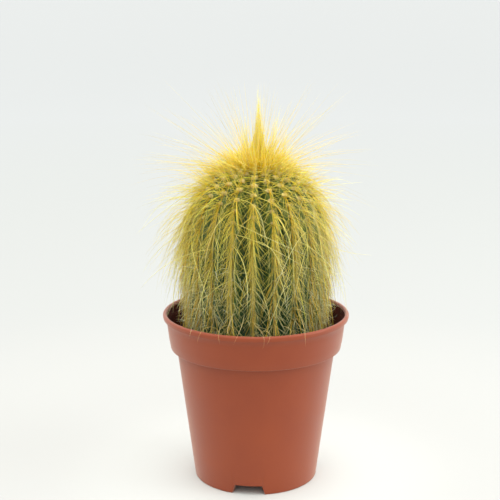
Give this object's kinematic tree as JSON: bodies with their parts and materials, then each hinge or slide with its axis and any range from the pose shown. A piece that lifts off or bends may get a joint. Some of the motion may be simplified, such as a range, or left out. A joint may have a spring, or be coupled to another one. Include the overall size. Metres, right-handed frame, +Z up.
{
  "type": "potted round cactus",
  "caption": "Small ball-shaped ribbed cactus with golden spines and a tufted crown, standing in soil in a round moulded plastic pot with a collar and a notched foot.",
  "frame": {"origin": "on the ground under the axis of the pot, where the foot ring stands", "axes": "+Z up along the pot's axis and the plant's height; -Y towards the viewer"},
  "size_m": [0.064, 0.064, 0.1064],
  "materials": {
    "pot_plastic": "satin",
    "soil": "matte",
    "stem_skin": "satin",
    "golden_spine": "satin",
    "straw_spine": "satin"
  },
  "bodies": {
    "root": {"pot": "pot_plastic", "soil": "soil", "cactus_stem": "stem_skin", "crown_tuft": "golden_spine", "rib_spines_01": "straw_spine", "rib_spines_02": "straw_spine", "rib_spines_03": "straw_spine", "rib_spines_04": "straw_spine", "rib_spines_05": "straw_spine", "rib_spines_06": "straw_spine", "rib_spines_07": "straw_spine", "rib_spines_08": "straw_spine", "rib_spines_09": "straw_spine", "rib_spines_10": "straw_spine", "rib_spines_11": "straw_spine", "rib_spines_12": "straw_spine", "rib_spines_13": "straw_spine", "rib_spines_14": "straw_spine", "rib_spines_15": "straw_spine", "rib_spines_16": "straw_spine", "rib_spines_17": "straw_spine", "rib_spines_18": "straw_spine", "rib_spines_19": "straw_spine", "rib_spines_20": "straw_spine", "rib_spines_21": "straw_spine"}
  },
  "joints": []
}
